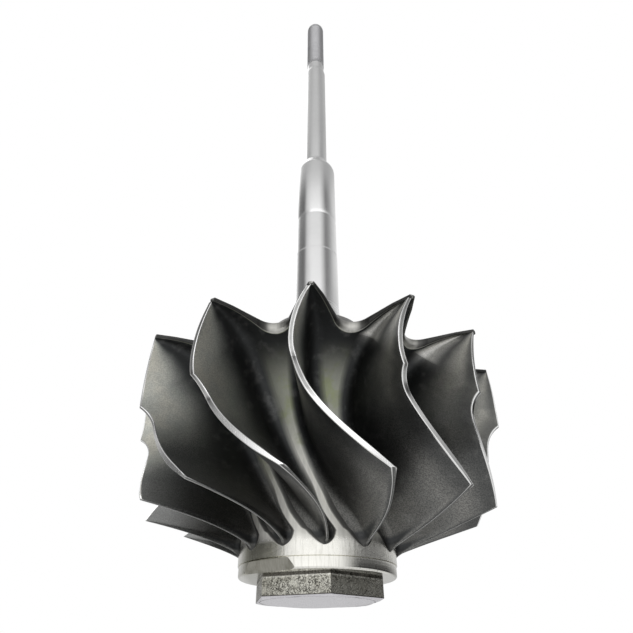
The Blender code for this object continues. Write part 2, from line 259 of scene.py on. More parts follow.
def blade_rows():
    """The stations along one blade, from its tip to the end of its root on the nose."""
    rows = []
    for i, (x, y) in enumerate(valley_outline(LOWER_ROUNDING, LEADING_ROWS)):
        radius = math.hypot(x, y)
        share = i / LEADING_ROWS
        corner = between((TIP_RADIUS, TIP_HEIGHT), KINK, share ** TIP_EASE)
        rows.append(Station((radius, flare_height(radius)), corner, share, math.atan2(x, y)))
    start = rows[-1].hub
    hub_line = [start] + [p for p in reversed(FLARE_LINE) if p[0] < start[0]]
    reach, rise = KINK[0] - THROAT[0], KINK[1] - THROAT[1]
    hollow = (reach * reach + rise * rise) / (2 * reach)
    first = math.degrees(math.atan2(rise, reach - hollow))
    outer = rounding((THROAT[0] + hollow, THROAT[1]), hollow, first, 180, HOLLOW_ROWS)[1:]
    outer += [between(THROAT, EXIT_CORNER, share) for share in spread(0, 1, SHROUD_ROWS)[1:]]
    for share, corner in zip(spread(0, 1, len(outer))[1:], outer):
        rows.append(Station(chain_point(hub_line, share), corner, 1 + share))
    start, foot = rows[-1].hub, (NOSE_RADIUS, BLADE_FOOT)
    steps = [(END_START * share, END_ZONE * share, 0.0) for share in spread(0, 1, TRAILING_ROWS)[1:]]
    for share in spread(0, 1, END_ROWS)[1:]:
        end = math.sin(math.pi / 2 * share ** END_EASE) if share < 1 else 1.0
        steps.append((END_START + (1 - END_START) * end, END_ZONE + (1 - END_ZONE) * end, end))
    for t, past_exit, end in steps:
        corner = curve_point((EXIT_CORNER, TRAILING_BEND, foot), t)
        rows.append(Station(between(start, foot, t), corner, 2 + past_exit, end=end))
    return rows


def section(row, side):
    """One half of the casting's section at a station, from the middle of a gas passage up the blade's side.

    Each point is radius, angle from the blade's own zero, and height; side is -1 or 1.
    """
    hub, zone, length = row.hub, row.zone, row.length
    thick_root = through(ROOT_THICKNESS, zone) * MM * row.closing
    thick_outer = min(through(OUTER_THICKNESS, zone) * MM, thick_root)
    foot = through(FILLET_SIZES[side], zone) * MM
    limit = through(FILLET_LIMITS, zone) * MM
    rise = min(foot, limit * (1 - math.exp(-FILLET_PACE * length / limit)))

    def blade_side(v):
        """The blade's surface at a distance v from the hub along the station."""
        thick = thick_root + (thick_outer - thick_root) * (v / length) ** THICKNESS_EASE
        return row.point(v / length, side * thick / 2)

    corner, far = blade_side(0.0), blade_side(rise)
    foot_angle = corner[1] + side * foot * lean_factor(*hub) / hub[0]
    edge_angle = ARM_ANGLE + side * (PITCH / 2 - row.valley)
    if zone > 1:
        sweep = curl_angle(max(hub[1], SWEEP_END))
        middle = through([(1, ARM_ANGLE), (1.35, sweep), (1.75, sweep), (2, sweep - FLOOR_SHIFT)], zone)
        edge_angle = middle + side * PITCH / 2
    room = side * (edge_angle - corner[1])
    if side * (foot_angle - corner[1]) > FILLET_ROOM * room:
        foot_angle = corner[1] + side * FILLET_ROOM * room
    if zone > 1:
        heights, turns = zip(*TONGUE[side])
        outline = sweep + math.radians(float(np.interp(hub[1] / MM, heights, turns)))
        foot_angle += (outline - foot_angle) * smooth((zone - TONGUE_ZONE) / (2 - TONGUE_ZONE))
    fillet = ((hub[0], foot_angle, hub[1]), corner, far)
    top = length - min(LAND_CHAMFER + EDGE_LINE, EDGE_LIMIT * length)
    points = [(hub[0], angle, hub[1]) for angle in spread(edge_angle, foot_angle, FLOOR_CELLS)[:-1]]
    points += [curve_point(fillet, t) for t in spread(0, 1, FILLET_CELLS)[:-1]]
    return points + [blade_side(v) for v in spread(rise, top, SIDE_CELLS)]


def edge_cap(row):
    """The points across a blade's outer edge: a ground land with chamfers, or a cast round at the exit."""
    thickness = min(through(OUTER_THICKNESS, row.zone), through(ROOT_THICKNESS, row.zone)) * MM
    half = thickness * row.closing / 2
    roundness = through(ROUND_EDGE, row.zone)
    points = []
    for flat, angle in CAP:
        flat_drop = LAND_CHAMFER if abs(flat) == 1 else 0.0
        drop = flat_drop + (half * (1 - math.cos(math.radians(angle))) - flat_drop) * roundness
        aside = flat + (math.sin(math.radians(angle)) - flat) * roundness
        points.append(row.point(1 - min(drop / row.length, CAP_LIMIT), aside * half))
    return points


def placed(radius, angle, height):
    """A point from its radius, its angle from the photograph's side, and its height."""
    return (radius * math.sin(angle), -radius * math.cos(angle), height)


def back_height(radius):
    """The back face of the disc, a shallow dish."""
    if radius > VALLEY_RADIUS:
        share = (radius - VALLEY_RADIUS) / (TIP_RADIUS - VALLEY_RADIUS)
        return BACK_AT_VALLEY + (BACK_AT_TIP - BACK_AT_VALLEY) * share
    return DISH[1] + (BACK_AT_VALLEY - DISH[1]) * smooth((radius - DISH[0]) / (VALLEY_RADIUS - DISH[0]))


# The casting's material slots: its cast skin, the ground edges of its blades and its turned back
CAST, LAND, BACK = 0, 1, 2


class Skin:
    """Collects the casting's faces, each with its material and the masks that its material reads."""

    def __init__(self):
        self.points, self.masks, self.faces, self.slots = [], [], [], []

    def line(self, points, masks):
        first = len(self.points)
        self.points += points
        self.masks += masks
        return list(range(first, first + len(points)))

    def strip(self, one, other, slots):
        for i in range(len(one) - 1):
            self.faces.append((one[i], one[i + 1], other[i + 1], other[i]))
            self.slots.append(slots[i])


HALF_COLUMNS = FLOOR_CELLS + FILLET_CELLS + SIDE_CELLS + 1

# How the masks fade: in columns beside the floor, towards a root's end, and along a scallop's wall
FLOOR_FADE = 3
SPAN_FADE = [(0.2, 1.0), (0.9, 0.0)]
EDGE_FADE = [(0.0, 1.0), (0.6, 0.0)]
WALL_WEAR = [(0.66, 0.06), (0.92, 0.76)]


def column_masks(row, count):
    """Across a station, how far each point belongs to the floor, the span and the painted highlight line
    along the blade's edge.
    """
    masks = []
    for j in range(count):
        k = min(j, count - 1 - j)
        floor = 1 - smooth((k - FLOOR_CELLS + 1) / FLOOR_FADE)
        up = min(1.0, max(0.0, (k - FLOOR_CELLS - FILLET_CELLS) / SIDE_CELLS))
        span = up * through(SPAN_FADE, row.end)
        ground = row.zone <= 2
        lit = k in (HALF_COLUMNS, HALF_COLUMNS + 1) if ground else j == HALF_COLUMNS + 1
        edge = through(EDGE_FADE, row.end) if lit else 0.0
        masks.append((floor, span, row.zone / 3, edge, 1.0 if j > count / 2 else 0.0))
    return masks


def wall_mask(share):
    """The masks of a scallop's wall, which is worn towards its lowest point."""
    return (through(WALL_WEAR, share), 0.0, 0.9, 0.0, 0.0)


# Floor, span, along, edge and trailing side for the faces that lie on no blade
PLAIN_MASK = (0.0, 0.0, 0.0, 0.0, 0.0)
NOSE_MASK = (1.0, 0.0, 1.0, 0.0, 0.0)
NOSE_ROWS = 6
BACK_CELLS = 12
ROUNDING_STEPS = (0, 30, 60, 90)


def rim_profile():
    """The wall of a scallop from its lower to its back edge: inset, whether it rides on the back, lift."""
    steps = [(math.sin(math.radians(a)), math.cos(math.radians(a))) for a in ROUNDING_STEPS]
    lower, back = LOWER_ROUNDING, BACK_ROUNDING
    profile = [(lower * (1 - sine), False, lower * (1 - cosine)) for sine, cosine in steps[1:]]
    return profile + [(back * (1 - cosine), True, back * (sine - 1)) for sine, cosine in steps]


def scallop_wall(corners, profile, side, turn):
    """The points of a scallop's wall at one station, from the gas side to the back."""
    wall = []
    for (x, y), (_, on_back, lift) in zip(corners, profile):
        radius = math.hypot(x, y)
        gas, back = flare_height(radius), back_height(radius)
        lift *= min(1.0, (back - gas) / (LOWER_ROUNDING + BACK_ROUNDING))
        angle = ARM_ANGLE + side * (PITCH / 2 - math.atan2(x, y)) + turn
        wall.append(placed(radius, angle, (back if on_back else gas) + lift))
    return wall


def add_nose(skin, previous, points, turn):
    """The nose's side below the ends of the blades' roots, down to its step."""
    first = points[0][1]
    even = spread(first, first + PITCH, len(points) - 1)
    for share in spread(0, 1, NOSE_ROWS)[1:]:
        height = BLADE_FOOT + (NOSE_STEP - BLADE_FOOT) * share
        nose = [placed(NOSE_RADIUS, p[1] + (angle - p[1]) * smooth(share) + turn, height)
                for p, angle in zip(points, even)]
        line = skin.line(nose, [NOSE_MASK] * len(nose))
        skin.strip(previous, line, [CAST] * (len(nose) - 1))
        previous = line


def add_back(skin, outline, walls, turn):
    """The back face of one arm, and its share of the dish and of the collar behind the wheel."""
    lines = []

    def add_line(radius, height, half):
        points = [placed(radius, ARM_ANGLE + turn + a, height) for a in spread(-half, half, BACK_CELLS)]
        lines.append(skin.line(points, [PLAIN_MASK] * len(points)))

    for i, (x, y) in enumerate(outline):
        radius = math.hypot(x, y)
        add_line(radius, back_height(radius), PITCH / 2 - math.atan2(x, y))
        lines[-1][0], lines[-1][-1] = walls[-1][i][-1], walls[1][i][-1]
    profile = [(r, back_height(r)) for r in spread(VALLEY_RADIUS - BACK_ROUNDING, DISH[0], DISH_ROWS)[1:]]
    centre = (COLLAR_RADIUS + COLLAR_FILLET, DISH[1] + COLLAR_FILLET)
    profile += rounding(centre, COLLAR_FILLET, -90, -180, COLLAR_CELLS)
    profile.append((COLLAR_RADIUS, CASTING_TOP))
    for radius, height in profile:
        add_line(radius, height, PITCH / 2)
    for one, other in zip(lines, lines[1:]):
        skin.strip(one, other, [BACK] * BACK_CELLS)


def build_skin():
    """All the faces of the casting, arm by arm, each arm with its blade."""
    rows = blade_rows()
    profile = rim_profile()
    outlines = [valley_outline(inset, LEADING_ROWS) for inset, _, _ in profile]
    side_slots = [CAST] * (HALF_COLUMNS - 1)
    skin = Skin()
    for number in range(BLADES):
        turn = number * PITCH
        previous = None
        walls = {-1: [], 1: []}
        for i, row in enumerate(rows):
            points = section(row, -1) + edge_cap(row) + section(row, 1)[::-1]
            masks = column_masks(row, len(points)) if row.end < 1 else [NOSE_MASK] * len(points)
            line = skin.line([placed(r, a + turn, z) for r, a, z in points], masks)
            if previous:
                cap_slots = [LAND if row.zone <= 2 else CAST] * (len(CAP) + 1)
                skin.strip(previous, line, side_slots + cap_slots + side_slots)
            previous = line
            if i <= LEADING_ROWS:
                wall_masks = [wall_mask(i / LEADING_ROWS)] * len(profile)
                for side, gas_edge in ((-1, line[0]), (1, line[-1])):
                    wall = scallop_wall([outline[i] for outline in outlines], profile, side, turn)
                    walls[side].append([gas_edge] + skin.line(wall, wall_masks))
        for side in (-1, 1):
            for one, other in zip(walls[side], walls[side][1:]):
                skin.strip(one, other, [CAST] * (len(one) - 2) + [BACK])
        add_nose(skin, previous, points, turn)
        add_back(skin, outlines[-1], walls, turn)
    return skin


# In metres, and the angle over which an edge of the casting stays sharp
MERGE_DISTANCE = 0.000004
CASTING_CREASE = math.radians(32)


def make_casting():
    """Hub and blades as the one piece that they are on the real wheel, with their root fillets."""
    skin = build_skin()
    mesh = bpy.data.meshes.new("wheel_casting")
    mesh.from_pydata(skin.points, [], skin.faces)
    mesh.polygons.foreach_set("material_index", skin.slots)
    for k, name in enumerate(("floor", "span", "along", "edge", "trailing_side")):
        layer = mesh.attributes.new(name, "FLOAT", "POINT")
        layer.data.foreach_set("value", [m[k] for m in skin.masks])
    work = bmesh.new()
    work.from_mesh(mesh)
    bmesh.ops.remove_doubles(work, verts=work.verts, dist=MERGE_DISTANCE)
    bmesh.ops.dissolve_degenerate(work, edges=work.edges, dist=MERGE_DISTANCE / 2)
    open_edges = [e for e in work.edges if e.is_boundary]
    for face in bmesh.ops.holes_fill(work, edges=open_edges, sides=0)["faces"]:
        face.material_index = CAST
    bmesh.ops.recalc_face_normals(work, faces=work.faces)
    work.to_mesh(mesh)
    work.free()
    casting = bpy.data.objects.new("wheel_casting", mesh)
    bpy.context.scene.collection.objects.link(casting)
    mesh.shade_smooth()
    mesh.set_sharp_from_angle(angle=CASTING_CREASE)
    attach(casting, "root")
    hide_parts("hub", *[f"blade_{n + 1:02d}" for n in range(BLADES)])
    return casting


def turned(name, profile, steps):
    """A turned solid: a disc drawn up through a profile of radius and height, as on a lathe."""
    radius, height = profile[0]
    bpy.ops.mesh.primitive_circle_add(vertices=steps, radius=radius, fill_type="NGON",
                                      location=(0, 0, height))
    piece = bpy.context.object
    piece.name = name
    piece.data.name = name
    bpy.ops.object.transform_apply()
    bpy.ops.object.mode_set(mode="EDIT")
    bpy.ops.mesh.select_all(action="SELECT")
    for next_radius, next_height in profile[1:]:
        bpy.ops.mesh.extrude_region_move(TRANSFORM_OT_translate={"value": (0, 0, next_height - height)})
        share = next_radius / radius
        bpy.ops.transform.resize(value=(share, share, 1), center_override=(0, 0, next_height))
        radius, height = next_radius, next_height
    bpy.ops.mesh.select_all(action="SELECT")
    bpy.ops.mesh.normals_make_consistent(inside=False)
    bpy.ops.object.mode_set(mode="OBJECT")
    return piece


def smoothed(piece, degrees):
    """Shades a piece smooth apart from edges sharper than an angle."""
    bpy.ops.object.select_all(action="DESELECT")
    piece.select_set(True)
    bpy.context.view_layer.objects.active = piece
    bpy.ops.object.shade_smooth_by_angle(angle=math.radians(degrees))


def cut_with(piece, cutter, operation):
    """Cuts a piece with another solid, or keeps what they share, and removes the cutter."""
    boolean = piece.modifiers.new("cut", "BOOLEAN")
    boolean.operation = operation
    boolean.object = cutter
    boolean.solver = "EXACT"
    bpy.context.view_layer.objects.active = piece
    bpy.ops.object.modifier_apply(modifier=boolean.name)
    bpy.data.objects.remove(cutter)


# The band below the step of the nose, and the flat ground into it for balance
BAND_RADIUS = 13.25 * MM
BAND_BOTTOM = 3.3 * MM
BAND_ROUNDING = 0.4 * MM
BAND_CHAMFER = 0.1 * MM
POCKET_ANGLE = math.radians(-37)
POCKET_MIDDLE = 4.05 * MM
POCKET_HALF_HEIGHT = 0.9 * MM
POCKET_DEPTHS = (12.15 * MM, 12.65 * MM)
CUTTER_LENGTH = 22 * MM
CUTTER_DEPTH = 4 * MM
SAME_WAY = 0.9995


def make_nose_band():
    corner = (BAND_RADIUS - BAND_ROUNDING, BAND_BOTTOM + BAND_ROUNDING)
    profile = rounding(corner, BAND_ROUNDING, -90, 0, cells=10) + [
        (BAND_RADIUS, NOSE_STEP - BAND_CHAMFER), (BAND_RADIUS - BAND_CHAMFER, NOSE_STEP)]
    band = turned("nose_band_turned", profile, steps=160)
    bpy.ops.mesh.primitive_cube_add(size=1)
    cutter = bpy.context.object
    cutter.scale = (CUTTER_LENGTH, CUTTER_DEPTH, 2 * POCKET_HALF_HEIGHT)
    middle = POCKET_DEPTHS[0] + CUTTER_DEPTH / 2
    cutter.location = placed(middle, POCKET_ANGLE, POCKET_MIDDLE)
    cutter.rotation_euler.z = POCKET_ANGLE
    bpy.ops.object.transform_apply()
    bpy.ops.object.mode_set(mode="EDIT")
    outward = Vector(placed(1, POCKET_ANGLE, 0))
    deeper = POCKET_DEPTHS[1] - POCKET_DEPTHS[0]
    work = bmesh.from_edit_mesh(cutter.data)
    for vert in work.verts:
        if vert.co.z > POCKET_MIDDLE and vert.co.dot(outward) < middle:
            vert.co += outward * deeper
    bmesh.update_edit_mesh(cutter.data)
    bpy.ops.object.mode_set(mode="OBJECT")
    cut_with(band, cutter, "DIFFERENCE")
    slope = Vector((0, 0, deeper / (2 * POCKET_HALF_HEIGHT)))
    pocket_normal = (outward - slope).normalized()
    for face in band.data.polygons:
        if face.normal.dot(pocket_normal) > SAME_WAY:
            face.material_index = 1
    smoothed(band, degrees=12)
    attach(band, "root")
    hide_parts("nose_band")
    return band


# The hexagon, and the fine ring turned into its end face
HEX_CORNER_RADIUS = 11.2 * MM
HEX_TURN = math.radians(10)
HEX_TOP = BAND_BOTTOM
HEX_FACE_RADIUS = 10.2 * MM
HEX_CHAMFER_REACH = 2.5 * MM
HEX_CHAMFER_RISE = 0.2
HEX_SIDE_BEVEL = 0.3 * MM
HEX_BEVEL = 0.24 * MM
HEX_LINE_RADIUS = 9.5 * MM
HEX_LINE_WIDTH = 0.12 * MM
HEX_LINE_DEPTH = 0.1 * MM
FINE_STEPS = 192


def make_hexagon():
    """The hexagon, its end turned to a chamfer that leaves an arc at the foot of each flat."""
    bpy.ops.mesh.primitive_cylinder_add(vertices=6, radius=HEX_CORNER_RADIUS, depth=HEX_TOP,
                                        location=(0, 0, HEX_TOP / 2), rotation=(0, 0, HEX_TURN))
    hexagon = bpy.context.object
    hexagon.name = "hexagon_cast"
    hexagon.data.name = "hexagon_cast"
    bpy.ops.object.transform_apply()
    bpy.ops.object.mode_set(mode="EDIT")
    bpy.ops.mesh.select_all(action="DESELECT")
    work = bmesh.from_edit_mesh(hexagon.data)
    for edge in work.edges:
        one, other = (v.co for v in edge.verts)
        edge.select_set(abs(one.z - other.z) > HEX_TOP / 2)
    bmesh.update_edit_mesh(hexagon.data)
    bpy.ops.mesh.bevel(offset=HEX_SIDE_BEVEL, segments=3, affect="EDGES")
    bpy.ops.mesh.select_all(action="DESELECT")
    work = bmesh.from_edit_mesh(hexagon.data)
    for face in work.faces:
        face.select_set(face.normal.z < -0.9)
    bmesh.update_edit_mesh(hexagon.data)
    bpy.ops.mesh.bevel(offset=HEX_BEVEL, segments=1, affect="EDGES")
    bpy.ops.object.mode_set(mode="OBJECT")
    rim = HEX_FACE_RADIUS + HEX_CHAMFER_REACH
    blank = turned("hexagon_blank", [(HEX_FACE_RADIUS, 0), (rim, HEX_CHAMFER_REACH * HEX_CHAMFER_RISE),
                                     (rim, HEX_TOP + 1 * MM)], FINE_STEPS)
    cut_with(hexagon, blank, "INTERSECT")
    inner = HEX_LINE_RADIUS - HEX_LINE_WIDTH
    ring = turned("hexagon_ring", [(HEX_LINE_RADIUS, -0.2 * MM), (HEX_LINE_RADIUS, HEX_LINE_DEPTH),
                                   (inner, HEX_LINE_DEPTH), (inner, -0.1 * MM)], FINE_STEPS)
    cut_with(hexagon, ring, "DIFFERENCE")
    smoothed(hexagon, degrees=20)
    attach(hexagon, "root")
    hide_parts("hexagon")
    return hexagon


# The shaft: radii and heights of its turned lengths
BOSS_RADIUS = 10.4 * MM
BOSS_BOTTOM = 44.7 * MM
RING_GROOVE = (9.0 * MM, 46.6 * MM, 48.6 * MM)
GROOVE_CHAMFER = 0.15 * MM
BOSS_SHOULDER = 50.2 * MM
BOSS_FILLET = 7.8 * MM
BOSS_TOP = 58.0 * MM
JOURNAL_RADIUS = 5.08 * MM
WAIST_RADIUS = 5.0 * MM
WAIST_BOTTOM = 73.1 * MM
UNDERCUT = (4.8 * MM, 84.0 * MM, 84.7 * MM)
UNDERCUT_RISE = 1.1 * MM
JOURNAL_TOP = 103.9 * MM
# How the outer journal rounds over into its chamfer: mm in from its radius, and mm up from its top
JOURNAL_END = ((0.0, -0.9), (0.08, -0.3), (0.24, 0.25), (0.46, 0.7))
JOURNAL_CHAMFER_TOP = 107.8 * MM
SPIGOT_RADIUS = 2.98 * MM
SPIGOT_TOP = 151.0 * MM
SPIGOT_CHAMFER_TOP = 152.6 * MM
NECK_RADIUS = 2.62 * MM
NECK_TOP = 155.8 * MM
THREAD_RADIUS = 2.72 * MM
THREAD_ROOT = 2.58 * MM
THREAD_PITCH = 0.8 * MM
THREAD_TOP = 178.4 * MM
THREAD_RINGS = 10
THREAD_FADES = (2 * THREAD_PITCH, 1.5 * THREAD_PITCH)
FLANK_STEEPNESS = 1.35
CREST_WIDTH = 0.2
DOME_ANGLES = (0.2, math.pi / 2 - 0.12)
DOME_CELLS = 8
DOME_ROUND = 0.86
SHAFT_END = 180.8 * MM
HAIRLINE = 0.1 * MM


def shaft_profiles():
    """The turned lengths of the shaft, each from its lower end to its upper one."""
    groove, low, high = RING_GROOVE
    lip = BOSS_RADIUS - GROOVE_CHAMFER
    boss = [(BOSS_RADIUS, BOSS_BOTTOM), (BOSS_RADIUS, low - GROOVE_CHAMFER), (lip, low), (groove, low),
            (groove, high), (lip, high), (BOSS_RADIUS, high + GROOVE_CHAMFER),
            (BOSS_RADIUS, BOSS_SHOULDER - 0.3 * MM)]
    boss += rounding((JOURNAL_RADIUS + BOSS_FILLET, BOSS_TOP), BOSS_FILLET, 250, 180, cells=16)
    waist = WAIST_RADIUS - HAIRLINE
    undercut, cut_low, cut_high = UNDERCUT
    journal = [(undercut, cut_high), (WAIST_RADIUS, cut_high + UNDERCUT_RISE)]
    journal += [(WAIST_RADIUS - inward * MM, JOURNAL_TOP + up * MM) for inward, up in JOURNAL_END]
    spigot = (SPIGOT_RADIUS, JOURNAL_CHAMFER_TOP)
    journal += [(SPIGOT_RADIUS + 0.06 * MM, JOURNAL_CHAMFER_TOP - 0.4 * MM), spigot]
    neck = (NECK_RADIUS, SPIGOT_CHAMFER_TOP)
    return {
        "shaft_boss": boss,
        "inner_journal": [(JOURNAL_RADIUS, BOSS_TOP), (JOURNAL_RADIUS, WAIST_BOTTOM - HAIRLINE),
                          (waist, WAIST_BOTTOM)],
        "shaft_waist": [(waist, WAIST_BOTTOM), (waist, WAIST_BOTTOM + HAIRLINE),
                        (WAIST_RADIUS, WAIST_BOTTOM + 2 * HAIRLINE), (WAIST_RADIUS, cut_low),
                        (undercut, cut_low + 0.12 * MM), (undercut, cut_high)],
        "outer_journal": journal,
        "wheel_spigot": [spigot, (SPIGOT_RADIUS, SPIGOT_TOP),
                         (SPIGOT_RADIUS - 0.08 * MM, SPIGOT_TOP + 0.5 * MM), neck],
        "thread_neck": [neck, (NECK_RADIUS - 0.02 * MM, NECK_TOP - 0.2 * MM), (NECK_RADIUS, NECK_TOP)],
    }


def make_thread():
    """The threaded end: turned, then its thread is rolled in by moving each point along a helix."""
    turns = (THREAD_TOP - NECK_TOP) / THREAD_PITCH
    profile = [(THREAD_RADIUS, z) for z in spread(NECK_TOP, THREAD_TOP, int(turns * THREAD_RINGS))]
    for angle in spread(*DOME_ANGLES, DOME_CELLS):
        share = DOME_ROUND * math.cos(angle) + (1 - DOME_ROUND) * (1 - angle / (math.pi / 2))
        profile.append((THREAD_RADIUS * share, THREAD_TOP + (SHAFT_END - THREAD_TOP) * math.sin(angle)))
    piece = turned("thread_rolled", profile, steps=64)
    work = bmesh.new()
    work.from_mesh(piece.data)
    for vert in work.verts:
        x, y, z = vert.co
        radius = math.hypot(x, y)
        if radius < THREAD_RADIUS * 0.98 or z > THREAD_TOP + 0.01 * MM:
            continue
        phase = (z - NECK_TOP) / THREAD_PITCH - math.atan2(y, x) / math.tau
        wave = abs(2 * (phase % 1.0) - 1)
        groove = min(1.0, max(0.0, FLANK_STEEPNESS * wave - CREST_WIDTH))
        fade = smooth((z - NECK_TOP) / THREAD_FADES[0]) * smooth((THREAD_TOP - z) / THREAD_FADES[1])
        share = 1 - (THREAD_RADIUS - THREAD_ROOT) / THREAD_RADIUS * groove * fade
        vert.co.x *= share
        vert.co.y *= share
    work.to_mesh(piece.data)
    work.free()
    smoothed(piece, degrees=40)
    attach(piece, "root")
    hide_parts("threaded_end")
    return piece


def make_shaft():
    pieces = []
    for node, profile in shaft_profiles().items():
        piece = turned(f"{node}_ground", profile, steps=128)
        smoothed(piece, degrees=25)
        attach(piece, "root")
        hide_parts(node)
        pieces.append(piece)
    return pieces


# How patterns are stretched: not at all, along the axis, or into tool lines round it
EVEN = (1, 1, 1)
ALONG_AXIS = (1, 1, 0.09)
TOOL_LINES = (0.02, 0.02, 1)


class Value:
    """A shader socket that plus, minus and times work on."""

    def __init__(self, finish, socket):
        self.finish, self.socket = finish, socket

    def maths(self, operation, one, other):
        return self.finish.node("Math", {"operation": operation}, {0: one, 1: other})

    def __add__(self, other):
        return self.maths("ADD", self, other)

    def __sub__(self, other):
        return self.maths("SUBTRACT", self, other)

    def __rsub__(self, other):
        return self.maths("SUBTRACT", other, self)

    def __mul__(self, other):
        return self.maths("MULTIPLY", self, other)

    __radd__ = __add__
    __rmul__ = __mul__

    def ramp(self, low, high):
        """0 below low, 1 above high, and a smooth step between."""
        return self.finish.node("MapRange", {"interpolation_type": "SMOOTHSTEP"}, {0: self, 1: low, 2: high})


class Finish:
    """The nodes of one material or world."""

    def __init__(self, tree, material=None):
        self.tree, self.material = tree, material

    def node(self, kind, settings=(), inputs=(), output=0):
        made = self.tree.nodes.new(f"ShaderNode{kind}")
        for key, value in dict(settings).items():
            if key == "stops":
                set_stops(made.color_ramp, value)
            else:
                setattr(made, key, value)
        for key, value in dict(inputs).items():
            self.feed(made.inputs[key], value)
        return Value(self, made.outputs[output])

    def feed(self, socket, value):
        if isinstance(value, Value):
            self.tree.links.new(value.socket, socket)
        elif socket.type == "RGBA" and len(value) == 3:
            socket.default_value = (*value, 1.0)
        else:
            socket.default_value = value

    def mix(self, share, one, other):
        """A colour between two colours."""
        return self.node("Mix", {"data_type": "RGBA"}, {0: share, 6: one, 7: other}, 2)

    def attribute(self, name):
        return self.node("Attribute", {"attribute_name": name}, output=2)

    def place(self, stretch=EVEN):
        """Object coordinates, squeezed along each axis to stretch a pattern."""
        coordinates = self.node("TexCoord", output=3)
        return self.node("Mapping", inputs={"Vector": coordinates, "Scale": stretch})

    def coordinate(self, axis):
        """One of the object coordinates: 0 runs to the right in the photograph, and 2 up."""
        return self.node("SeparateXYZ", inputs={0: self.place()}, output=axis)

    def noise(self, size, stretch=EVEN, detail=3.0, rough=0.5):
        """Noise whose features are about this many metres across."""
        return self.node("TexNoise", inputs={"Vector": self.place(stretch), "Scale": 1 / size,
                                             "Detail": detail, "Roughness": rough})

    def bump(self, height, depth, under=None):
        """Relief from a height between 0 and 1, its depth in metres, over another relief if there is one."""
        inputs = {"Height": height, "Distance": depth, "Strength": 1.0}
        if under:
            inputs["Normal"] = under
        return self.node("Bump", inputs=inputs)

    def surface(self, colour, roughness, normal=None, metallic=1.0):
        """Feeds the material's shader, and gives the material back."""
        sockets = self.tree.nodes["Principled BSDF"].inputs
        self.feed(sockets["Base Color"], colour)
        self.feed(sockets["Roughness"], roughness)
        self.feed(sockets["Metallic"], metallic)
        if normal:
            self.feed(sockets["Normal"], normal)
        return self.material


def set_stops(ramp, stops):
    """Gives a colour ramp its stops, each a place and a grey level."""
    while len(ramp.elements) > 1:
        ramp.elements.remove(ramp.elements[-1])
    for i, (place, level) in enumerate(stops):
        element = ramp.elements[0] if i == 0 else ramp.elements.new(place)
        element.position = place
        element.color = (level, level, level, 1.0)


def new_finish(name):
    material = bpy.data.materials.new(name)
    material.use_nodes = True
    return Finish(material.node_tree, material)


# The finishes' colours: the casting's, the nose's, the pocket's, the hexagon's and the shaft's. Some of them
# are painted shade, painted shadow, painted sheen and painted highlights
CHARCOAL = (0.20, 0.205, 0.20)
SHEEN_CHARCOAL = (0.50, 0.53, 0.51)
DEEP_CHARCOAL = (0.055, 0.057, 0.058)
TONGUE_GREY = (0.36, 0.35, 0.32)
PAINTED_SHADOW_BLACK = (0.02, 0.02, 0.02)
PAINTED_RIM_SHEEN = (0.86, 0.85, 0.81)
LIT_CAST_BROWN = (0.38, 0.37, 0.345)
CAST_TAN_AND_SHEEN = (0.72, 0.70, 0.62)
CAST_GREY = (0.34, 0.34, 0.33)
FLOOR_STEEL = (0.80, 0.79, 0.74)
FLOOR_DULL = (0.40, 0.41, 0.35)
GREEN_TINT = (0.34, 0.38, 0.20)
PAINTED_EDGE_GLINT = (0.86, 0.86, 0.84)
LAND_STEEL = (0.94, 0.94, 0.93)
PAINTED_LAND_SHADE = (0.16, 0.16, 0.155)
PAINTED_CHAMFER_GLINT = (0.95, 0.95, 0.94)
BACK_STEEL = (0.42, 0.42, 0.41)
BACK_SHADE = (0.22, 0.22, 0.21)
NOSE_STEEL = (0.86, 0.85, 0.80)
NOSE_SCRATCH = (0.46, 0.45, 0.40)
NOSE_SPECK = (0.10, 0.095, 0.075)
NOSE_LEFT_SHADE = (0.27, 0.265, 0.19)
NOSE_STAIN = (0.45, 0.44, 0.38)
POCKET_STEEL = (0.40, 0.39, 0.345)
POCKET_MARK = (0.25, 0.245, 0.205)
POCKET_STAIN = (0.18, 0.175, 0.14)
HEX_STEEL = (0.60, 0.59, 0.53)
HEX_GRIME = (0.26, 0.25, 0.2)
HEX_SHADE = (0.2, 0.19, 0.15)
HEX_CRACK = (0.03, 0.028, 0.024)
HEX_SHINE = (0.8, 0.79, 0.74)
HEX_DARK_LINE = (0.08, 0.075, 0.065)
HEX_END = (0.74, 0.73, 0.76)
BOSS_DULL = (0.40, 0.395, 0.385)
BOSS_SHADE = (0.28, 0.275, 0.265)
BOSS_STEEL = (0.79, 0.79, 0.79)
SHAFT_STEEL = (0.82, 0.82, 0.82)
SHAFT_SHADE = (0.72, 0.72, 0.72)
THREAD_STEEL = (0.52, 0.52, 0.53)
THREAD_SHADE = (0.38, 0.38, 0.39)
STUDIO_PALE = (0.86, 0.86, 0.86)


